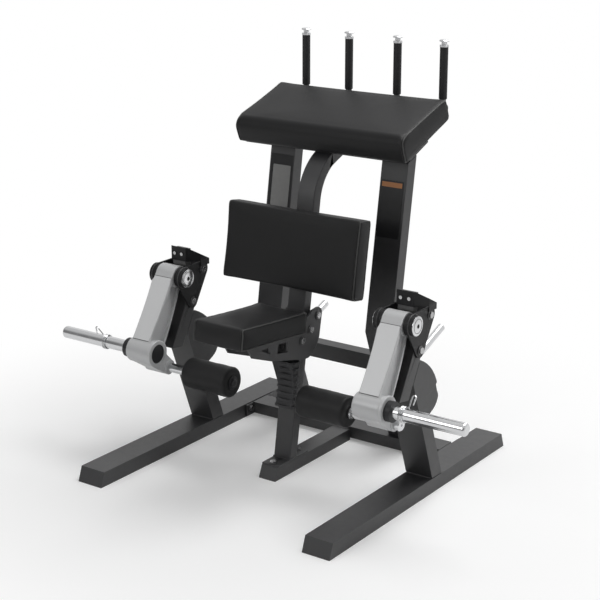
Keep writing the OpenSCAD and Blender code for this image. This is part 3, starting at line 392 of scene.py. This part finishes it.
def laid_plate(place, outline, thick, lip):
    count = len(outline)
    middle = sum((Vector(spot) for spot in outline), Vector((0, 0))) / count
    verts = []
    for height, inset in ((0, 0), (thick - lip, 0), (thick, lip)):
        for spot in outline:
            x, y = Vector(spot) + (middle - Vector(spot)).normalized() * inset
            verts.append(place @ Vector((x, y, height)))
    faces = band(0, count, count) + band(count, 2 * count, count)
    faces.append(tuple(range(2 * count, 3 * count)))
    faces.append(tuple(range(count - 1, -1, -1)))
    return verts, faces


def rounded_rectangle(x0, x1, y0, y1, r):
    outline = []
    corners = ((x1 - r, y1 - r, 0), (x0 + r, y1 - r, 90), (x0 + r, y0 + r, 180), (x1 - r, y0 + r, 270))
    for x, y, start in corners:
        for i in range(6):
            turn = math.radians(start + 18 * i)
            outline.append((x + r * math.cos(turn), y + r * math.sin(turn)))
    return outline


post_lean = math.radians(9)
post_face_y, post_face_z = 0.1755, 0.554
post_face = (Matrix.Translation((0, post_face_y, post_face_z))
    @ Matrix.Rotation(math.pi / 2 - post_lean, 4, "X"))
plate_t, plate_lip, film_t, film_lip = 0.0012, 0.0003, 0.0003, 0.0001


def placard(name, film, depth, x0, x1, low, high, corner, thick, lip):
    y0, y1 = [(z - post_face_z) / math.cos(post_lean) for z in (low, high)]
    place = post_face @ Matrix.Translation((0, 0, depth))
    plate = laid_plate(place, rounded_rectangle(x0, x1, y0, y1, corner), thick, lip)
    mesh_piece(name, [plate], film, "frame", smooth=False)


plate_black = placard_film("plate_black", (0.012, 0.012, 0.013), 0.3)
panel_grey = placard_film("panel_grey", (0.27, 0.27, 0.265), 0.4)
stripe_orange = placard_film("stripe_orange", (0.48, 0.20, 0.07), 0.4)
placard("left_post_plate", plate_black, depth=0, x0=-0.322, x1=-0.212, low=0.79, high=1.2,
    corner=0.004, thick=plate_t, lip=plate_lip)
placard("left_post_panel", panel_grey, depth=plate_t, x0=-0.308, x1=-0.221, low=0.83, high=1.157,
    corner=0.003, thick=film_t, lip=film_lip)
placard("right_post_plate", plate_black, depth=0, x0=0.213, x1=0.317, low=0.936, high=1.159,
    corner=0.004, thick=plate_t, lip=plate_lip)
placard("right_post_stripe", stripe_orange, depth=plate_t, x0=0.219, x1=0.311, low=1.133, high=1.152,
    corner=0.002, thick=film_t, lip=film_lip)

# Side stands: two leg tubes on each rail with a rounded gusset in their crook, and the plates,
# bosses and folded guard that carry the lever, all of coated steel, welded and bolted together.
for part in ("left_lower_leg", "right_lower_leg", "left_upper_leg", "right_upper_leg"):
    finish_node(part, frame_coat, 0.004)
finish_node("leg_gussets", frame_coat, 0.006)
# The lever plates, bosses and guards take a darker, less shiny copy of the frame's coat: painted shade for
# the shade that these recessed parts sit in.
shaded_bracket_coat = powder_coat("shaded_bracket_coat", (0.0115, 0.0115, 0.0125), 0.42, shine=0.3)
finish_node("left_lever_bracket", shaded_bracket_coat, 0.0012)
finish_node("right_lever_bracket", shaded_bracket_coat, 0.0012)
finish_node("stop_guards", shaded_bracket_coat, 0.0008)
finish_node("bracket_bolts", zinc_plate, 0.0006)
finish_node("guard_screws", zinc_plate, 0.0006)
pivot_y, pivot_z = -0.121, 0.734
leg_in, leg_out, leg_seam_y, leg_seam_z = 0.484, 0.596, (0.0605, 0.1319), 0.0605
inner_plate_x, outer_plate_x, boss_r = 0.473, 0.607, 0.0415
bracket_bolt_spots = ((-0.0677, 0.6231), (-0.0013, 0.744))


def pivot_circle(x, radius, count):
    return [Vector((x, pivot_y + radius * c, pivot_z + radius * s)) for c, s in circle(count)]


stand_welds = []
for hand in (-1, 1):
    for y in leg_seam_y:
        stand_welds.append(weld_bead([(hand * leg_in, y, leg_seam_z), (hand * leg_out, y, leg_seam_z)]))
    for x in (inner_plate_x, outer_plate_x):
        stand_welds.append(weld_bead(pivot_circle(hand * x, boss_r, 36), closed=True))
mesh_piece("stand_weld_beads", stand_welds, frame_coat, "frame")
mesh_piece("bracket_washers",
    [washer((hand * x, y, z), (hand * way, 0, 0)) for hand in (-1, 1)
        for x, way in ((outer_plate_x, 1), (inner_plate_x, -1)) for y, z in bracket_bolt_spots],
    washer_steel, "frame", smooth=False)


# Stop blocks and rest bumpers: moulded rubber with a dull, dusty skin. The grey blocks sit behind
# the guards' faces, and the black bumpers are screwed to the legs, where the levers rest.
def moulded_rubber(name, tone, dull):
    skin, make, place = new_finish(name)
    dust = noise(make, place, 26.0, 6.0)
    tint = span(make, dust, 0.8, 1.3)
    gloss = span(make, dust, dull - 0.08, dull + 0.1)
    bump = grain_bump(make, place, 900.0, 120.0, 0.0001)
    close_finish(make, toned(make, tone, tint), gloss, bump, [("Specular IOR Level", 0.35)])
    return skin


finish_node("stop_blocks", moulded_rubber("grey_rubber", (0.13, 0.13, 0.13), 0.55), 0.0015)
finish_node("rest_bumpers", moulded_rubber("bumper_rubber", (0.03, 0.03, 0.032), 0.6), 0.002)

# Pivots: a ground steel shaft through the bosses of each stand, closed at both ends with a chrome cap that
# has a turned groove and a hexagon socket. The groove and the socket are drawn as a thin near-black ring and
# a near-black hexagon: painted shade in the groove and the socket.
cap_seats = ((0.622, 1), (0.456, -1))
groove_r, groove_wire_r, groove_height = 0.027, 0.0009, 0.0048
socket_r, socket_heights = 0.0088, (0.0009, 0.0017)
finish_node("pivot_shafts", bright_metal("ground_steel", (0.5, 0.5, 0.51), 0.3))
finish_node("pivot_caps", chrome_plate, 0.0008)
# A near-black rubber skin used only for painted shade: the cap grooves and sockets, and the gaps at the ends
# of the arm plates.
seam_shadow = moulded_rubber("seam_shadow", (0.012, 0.012, 0.012), 0.6)
cap_shade_marks = []
for hand in (-1, 1):
    # Painted shade: a thin near-black ring in each cap's groove and a near-black hexagon in its socket.
    for seat, way in cap_seats:
        groove_shade_ring = pivot_circle(hand * (seat + way * groove_height), groove_r, 48)
        cap_shade_marks.append(tube_along(groove_shade_ring, groove_wire_r, closed=True))
        socket = [Vector((hand * (seat + way * height), pivot_y, pivot_z)) for height in socket_heights]
        cap_shade_marks.append(tube_along(socket, socket_r, sides=6))
mesh_piece("pivot_cap_groove_shade", cap_shade_marks, seam_shadow, "frame", smooth=False)


# Boards under the pads: birch plywood stained black, sawn to shape and screwed to the frame, with
# its ply lines just showing at the edge.
def stained_ply(name):
    ply, make, place = new_finish(name)
    figure = make("ShaderNodeTexWave", [("Vector", place), ("Scale", 60.0), ("Distortion", 3.0),
        ("Detail", 3.0)]).outputs["Fac"]
    close_finish(make, span(make, figure, 0.014, 0.03), 0.6, bumped(make, figure, 0.0002))
    return ply


black_ply = stained_ply("black_ply")
for board in ("chest_board", "thigh_board", "kneel_board"):
    finish_node(board, black_ply, 0.0015)


# Pads: dense foam on a board under tight black vinyl, sewn from a main cover and an end panel at
# each side, with piping and a row of stitches where they meet, and stapled to the board below.
def pad_vinyl(name, tone):
    vinyl, make, place = new_finish(name)
    pebble = make("ShaderNodeTexVoronoi", [("Vector", place), ("Scale", 900.0)], feature="SMOOTH_F1")
    soft = noise(make, place, 9.0, 3.0)
    grain = joined(make, pebble.outputs["Distance"], noise(make, place, 240.0, 6.0))
    bump = bumped(make, grain, 0.00014, 0.8)
    tint = span(make, soft, 0.88, 1.12)
    gloss = span(make, soft, 0.4, 0.52)
    close_finish(make, toned(make, tone, tint), gloss, bump, [("Specular IOR Level", 0.26)])
    return vinyl


black_vinyl = pad_vinyl("black_vinyl", (0.0125, 0.0125, 0.013))
# The piping is the same black vinyl painted about six times lighter: a painted highlight along the piping's
# rounded edge.
piping_highlight_vinyl = pad_vinyl("piping_highlight_vinyl", (0.075, 0.075, 0.074))
staple_wire = placard_film("staple_wire", (0.30, 0.30, 0.31), 0.35)
foam_push, swell_limit, swell_frames = 4.0, 0.003, 16
piping_r, piping_out, piping_lift, piping_step = 0.0024, 0.006, 0.0006, 0.006
thread_r, stitch_in, stitch_out, stitch_lift, stitch_pitch = 0.0005, 0.009, 0.008, 0.0002, 0.0065
wire_r, staple_pitch, staple_half, staple_inset, staple_lift = 0.0005, 0.026, 0.0055, 0.012, 0.0003
seam_pull, seam_reach = 0.0011, 0.009


def swollen_spots(pad):
    cloth = pad.modifiers.new("vinyl", "CLOTH")
    cloth.settings.use_pressure = True
    cloth.settings.uniform_pressure_force = foam_push
    cloth.settings.effector_weights.gravity = 0
    cloth.settings.tension_stiffness = 20
    cloth.settings.compression_stiffness = 20
    cloth.settings.bending_stiffness = 2
    cloth.settings.quality = 4
    cloth.point_cache.frame_start = 1
    cloth.point_cache.frame_end = swell_frames
    for step in range(1, swell_frames + 1):
        scene.frame_set(step)
    depsgraph = bpy.context.evaluated_depsgraph_get()
    spots = [v.co.copy() for v in pad.evaluated_get(depsgraph).data.vertices]
    pad.modifiers.remove(cloth)
    scene.frame_set(1)
    return spots


def swell(pad):
    rest = [v.co.copy() for v in pad.data.vertices]
    shifts = np.array([end - start for start, end in zip(rest, swollen_spots(pad))])
    far = np.linalg.norm(shifts, axis=1)
    shifts *= (np.minimum(far, swell_limit) / np.maximum(far, 1e-9))[:, None]
    ends = np.array([edge.vertices[:] for edge in pad.data.edges])
    near = np.bincount(ends.ravel(), minlength=len(rest))[:, None]
    for _ in range(12):
        around = np.zeros_like(shifts)
        np.add.at(around, ends[:, 0], shifts[ends[:, 1]])
        np.add.at(around, ends[:, 1], shifts[ends[:, 0]])
        shifts = (shifts + around) / (near + 1)
    for vert, start, shift in zip(pad.data.vertices, rest, shifts):
        vert.co = start + Vector(shift)


def apply_change(pad, kind, **facts):
    change = pad.modifiers.new(kind.lower(), kind)
    for name, value in facts.items():
        setattr(change, name, value)
    bpy.ops.object.modifier_apply(modifier=change.name)


def upholstered(node, voxel):
    pad = nodes[node].copy()
    pad.data = nodes[node].data.copy()
    pad.name = node + "_vinyl"
    pad.parent = None
    scene.collection.objects.link(pad)
    bpy.context.view_layer.objects.active = pad
    for other in scene.objects:
        other.select_set(other == pad)
    apply_change(pad, "WELD", merge_threshold=0.00002)
    apply_change(pad, "REMESH", mode="VOXEL", voxel_size=voxel)
    swell(pad)
    apply_change(pad, "SMOOTH", factor=0.5, iterations=1)
    apply_change(pad, "SUBSURF", levels=1, render_levels=1)
    for face in pad.data.polygons:
        face.use_smooth = True
    pad.data.materials.clear()
    pad.data.materials.append(black_vinyl)
    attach(pad, "frame")
    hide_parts(node)
    return pad


def end_panel_outline(long, front, back, corner, nose, spread, step):
    half = long / 2
    tilt = (back - front) / long
    bends = ((half, 0, corner, -90), (half, back, corner, 0), (-half, front, nose, 90),
        (-half, 0, corner, 180))
    outline = []
    for y, z, r, start in bends:
        y_in = y - math.copysign(r, y)
        z_in = r if z == 0 else z - r - tilt * math.copysign(r, y)
        for i in range(7):
            turn = math.radians(start + 15 * i)
            outline.append(Vector((y_in, z_in)) + Vector((math.cos(turn), math.sin(turn))) * (r + spread))
    even = []
    for here, there in zip(outline, outline[1:] + outline[:1]):
        pieces = max(1, round((there - here).length / step))
        even += [here.lerp(there, k / pieces) for k in range(pieces)]
    return even


def on_skin(skin, place, spot, lift):
    found, normal, _, _ = skin.find_nearest(place @ Vector(spot))
    return found + normal * lift


def sewn_ends(skin, place, wide, panel):
    parts, seam_line = [], []
    for hand in (-1, 1):
        bead = [on_skin(skin, place, (hand * (wide / 2 + piping_out), y, z), piping_lift)
            for y, z in end_panel_outline(*panel, spread=piping_out, step=piping_step)]
        for _ in range(2):
            bead = [(bead[i - 1] + bead[i] * 2 + bead[(i + 1) % len(bead)]) / 4 for i in range(len(bead))]
        parts.append(tube_along(bead, piping_r, closed=True, sides=10))
        seam_line += bead
        thread = [on_skin(skin, place, (hand * (wide / 2 - stitch_in), y, z), stitch_lift)
            for y, z in end_panel_outline(*panel, spread=stitch_out, step=stitch_pitch)]
        for here, there in zip(thread, thread[1:] + thread[:1]):
            parts.append(tube_along([here.lerp(there, 0.16), here.lerp(there, 0.84)], thread_r, sides=5))
    return parts, seam_line


def stapled_rim(skin, place, wide, long):
    staples = []
    x_rim, y_rim = wide / 2 - staple_inset, long / 2 - staple_inset
    for run, rim, along_x in ((x_rim, y_rim, True), (x_rim, -y_rim, True), (y_rim, x_rim, False),
            (y_rim, -x_rim, False)):
        count = int(2 * run / staple_pitch)
        for i in range(count):
            middle = -run + 2 * run * (i + 0.5) / count
            ends = []
            for shift in (-staple_half, staple_half):
                x, y = (middle + shift, rim) if along_x else (rim, middle + shift)
                ends.append(on_skin(skin, place, (x, y, -0.004), staple_lift))
            staples.append(tube_along(ends, wire_r, sides=6))
    return staples


def draw_in(pad, seam_line):
    near = KDTree(len(seam_line))
    for i, spot in enumerate(seam_line):
        near.insert(spot, i)
    near.balance()
    drawn = []
    for vert in pad.data.vertices:
        gap = near.find(vert.co)[2]
        if gap < seam_reach:
            drawn.append((vert, vert.co - vert.normal * seam_pull * (1 - gap / seam_reach)))
    for vert, spot in drawn:
        vert.co = spot


def finished_pad(node, place, voxel, wide, long, front, back, corner, nose):
    pad = upholstered(node, voxel)
    skin = BVHTree.FromObject(pad, bpy.context.evaluated_depsgraph_get())
    parts, seam_line = sewn_ends(skin, place, wide, (long, front, back, corner, nose))
    mesh_piece(node + "_piping", parts, piping_highlight_vinyl, "frame")
    mesh_piece(node + "_staples", stapled_rim(skin, place, wide, long), staple_wire, "frame")
    draw_in(pad, seam_line)


def pad_place(origin, tilt, shift, turned=0):
    return (Matrix.Translation(origin) @ Matrix.Rotation(math.radians(tilt), 4, "X")
        @ Matrix.Translation(shift) @ Matrix.Rotation(math.radians(turned), 4, "X"))


chest_place = pad_place(origin=(0, 0.1951, 1.2629), tilt=21.5, shift=(0, 0.1335, 0.00806))
thigh_place = pad_place(origin=(0, -0.1152, 0), tilt=-9, shift=(0, -0.00006, 0.9095), turned=90)
kneel_place = pad_place(origin=(0, -0.099, 0.597), tilt=-5.1, shift=(0, -0.206, 0.00406))
finished_pad("chest_pad", chest_place, voxel=0.0072, wide=0.793, long=0.349, front=0.110, back=0.092,
    corner=0.007, nose=0.042)
finished_pad("thigh_pad", thigh_place, voxel=0.0064, wide=0.626, long=0.309, front=0.080, back=0.080,
    corner=0.008, nose=0.008)
finished_pad("kneel_pad", kneel_place, voxel=0.0052, wide=0.231, long=0.412, front=0.089, back=0.089,
    corner=0.008, nose=0.010)

# Kneeling bracket and shin guard: laser-cut plates in the frame's coat, bolted to the column with
# blackened washers, and below them a ribbed moulding of black plastic over the column's front.
kneel_plate_x = 0.060
kneel_bolt_spots = ((-0.0505, 0.550), (0.0095, 0.580), (0.058, 0.627))
finish_node("kneel_bracket", frame_coat, 0.0012)
finish_node("kneel_bolts", zinc_plate, 0.0006)
mesh_piece("kneel_washers",
    [washer((hand * kneel_plate_x, y, z), (hand, 0, 0)) for hand in (-1, 1) for y, z in kneel_bolt_spots],
    washer_steel, "frame", smooth=False)
finish_node("shin_guard", moulded_rubber("ribbed_plastic", (0.04, 0.04, 0.042), 0.45), 0.002)


# Levers: cast arms with a smooth satin silver paint that carries a very fine flake. Each turns on
# two bronze bushes pressed into its hub.
def silver_paint(name, tone):
    paint, make, place = new_finish(name)
    tint = span(make, noise(make, place, 1600.0, 2.0), 0.9, 1.08, start=0.35, stop=0.65)
    gloss = span(make, noise(make, place, 12.0, 4.0), 0.34, 0.44)
    bump = grain_bump(make, place, 1600.0, 300.0, 0.00004)
    close_finish(make, toned(make, tone, tint), gloss, bump, [("Metallic", 0.2)])
    return paint


satin_silver = silver_paint("satin_silver", (0.57, 0.575, 0.58))
turned_bronze = bright_metal("turned_bronze", (0.5, 0.32, 0.16), 0.3)
for hand in ("left", "right"):
    finish_node(hand + "_arm", satin_silver, 0.0025)
    finish_node(hand + "_bushes", turned_bronze)


# Front plates: a bare stamped plate of brighter silver glued on the face of each arm, narrower beside the
# hub and drifting sideways with the casting, with a thin near-black strip across its two ends: painted shade
# for the gap where it meets the casting.
def arm_drift(down):
    bow_start, bow_end, drift, bow = 0.050, 0.3088, 0.0162, 0.85
    t = max(0.0, min(1.0, (down - bow_start) / (bow_end - bow_start)))
    return 2 * t * (1 - t) * bow * drift + t * t * drift


plate_silver = silver_paint("plate_silver", (0.73, 0.735, 0.74))
lever_lean = math.radians(36.9)
lever_x, face_depth = 0.540, 0.044
hub_row, shoulder_row, neck_row, foot_row = 0.027, 0.036, 0.050, 0.3005
hub_half, neck_half, foot_half = 0.0418, 0.0452, 0.0397
steps = [i / 14 for i in range(1, 15)]
rows = [hub_row, shoulder_row, neck_row] + [neck_row + (foot_row - neck_row) * t for t in steps]
halves = [hub_half, hub_half, neck_half] + [neck_half + (foot_half - neck_half) * t for t in steps]
middles = [arm_drift(row) for row in rows]
plate_outline = ([(m + h, -r) for m, h, r in zip(middles, halves, rows)][::-1]
    + [(m - h, -r) for m, h, r in zip(middles, halves, rows)])
plate_end_shade_bars = ((middles[0], 0.0435, 0.0250, 0.0020), (middles[-1], 0.0410, 0.3006, 0.0022))
for hand, side in (("left", -1), ("right", 1)):
    face = (Matrix.Translation((side * lever_x, pivot_y, pivot_z))
        @ Matrix.Rotation(math.pi / 2 - lever_lean, 4, "X") @ Matrix.Translation((0, 0, face_depth)))
    mesh_piece(hand + "_arm_plate", [laid_plate(face, plate_outline, 0.0016, 0.0010)], plate_silver,
        hand + "_lever", smooth=False)
    # Near-black strips across the plate's two ends: painted shade in the gap between the plate and the
    # casting.
    plate_end_shades = [laid_plate(face, [(m + h, -r - w), (m + h, -r), (m - h, -r), (m - h, -r - w)], 0.0005, 0.0001)
        for m, h, r, w in plate_end_shade_bars]
    mesh_piece(hand + "_arm_end_shade", plate_end_shades, seam_shadow, hand + "_lever", smooth=False)

# Weight horns and roller rods: chrome plated bar held in the arm's barrel by a black moulded
# sleeve, with a sprung wire collar on it, and a thinner rod with end caps in the arm's clamp.
sleeve_plastic = moulded_rubber("sleeve_plastic", (0.02, 0.02, 0.022), 0.4)
for hand in ("left", "right"):
    finish_node(hand + "_horn_sleeve", sleeve_plastic, 0.001)
    finish_node(hand + "_weight_horn", chrome_plate)
    finish_node(hand + "_spring_collar", chrome_plate)
    finish_node(hand + "_roller_rod", chrome_plate, 0.0006)
    finish_node(hand + "_rod_caps", chrome_plate, 0.0005)


# Foam rollers: thick tubes of moulded closed-cell foam with rounded ends, pushed on a black core.
# The skin is black and dull, with fine pores and a slightly uneven surface.
def closed_foam(name):
    foam, make, place = new_finish(name)
    pore = make("ShaderNodeTexVoronoi", [("Vector", place), ("Scale", 620.0)], feature="F1")
    swirl = noise(make, place, 30.0, 5.0)
    bump = bumped(make, joined(make, pore.outputs["Distance"], swirl), 0.0002, 0.8)
    tint = span(make, swirl, 0.8, 1.25)
    gloss = span(make, swirl, 0.42, 0.56)
    close_finish(make, toned(make, (0.012, 0.012, 0.0125), tint), gloss, bump, [("Specular IOR Level", 0.3)])
    return foam


def foam_profile(low_x, high_x, outer, bore):
    soft_end, bore_edge, chamfer, steps = 0.012, 0.001, 0.004, 30
    length = high_x - low_x - 2 * soft_end
    bends = [math.radians(15 * i) for i in range(1, 7)]
    bends = [(soft_end * (1 - math.cos(bend)), outer - soft_end * (1 - math.sin(bend))) for bend in bends]
    profile = [(low_x + bore_edge, bore), (low_x, bore + chamfer), (low_x, outer - soft_end)]
    profile += [(low_x + inset, r) for inset, r in bends]
    profile += [(low_x + soft_end + length * i / steps, outer) for i in range(1, steps)]
    profile += [(high_x - inset, r) for inset, r in reversed(bends)]
    return profile + [(high_x, outer - soft_end), (high_x, bore + chamfer), (high_x - bore_edge, bore)]


def foam_tube(hand):
    low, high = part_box(hand + "_foam_roller")
    middle_y, middle_z = (low.y + high.y) / 2, (low.z + high.z) / 2
    bore, ripple, ripple_rise, around = 0.0252, 0.0003, 0.02, 96
    profile = foam_profile(low.x, high.x, (high.z - low.z) / 2, bore)
    verts, faces = [], []
    for x, r in profile:
        for k in range(around):
            turn = 2 * math.pi * k / around
            wave = math.sin(3 * turn + 40 * x) + math.sin(5 * turn - 90 * x) + math.sin(70 * x) - 3
            full = r + ripple * wave * min(1, (r - bore) / ripple_rise)
            verts.append((x, middle_y + full * math.cos(turn), middle_z + full * math.sin(turn)))
    count = len(profile)
    for i in range(count):
        here, there = i * around, (i + 1) % count * around
        for k in range(around):
            n = (k + 1) % around
            faces.append((here + k, there + k, there + n, here + n))
    tube = mesh_piece(hand + "_roller_foam", [(verts, faces)], black_foam, hand + "_roller")
    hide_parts(hand + "_foam_roller")


black_foam = closed_foam("black_foam")
for hand in ("left", "right"):
    finish_node(hand + "_roller_core", sleeve_plastic)
    foam_tube(hand)

# Handles: the bar and its four uprights in the frame's coat, welded together, with rubber sleeves
# pushed on for the hands and a turned chrome cap on the end of each.
finish_node("handle_bar", frame_coat, 0.001)
finish_node("hand_grips", moulded_rubber("grip_rubber", (0.017, 0.017, 0.018), 0.5), 0.0006)
finish_node("grip_caps", chrome_plate, 0.0006)
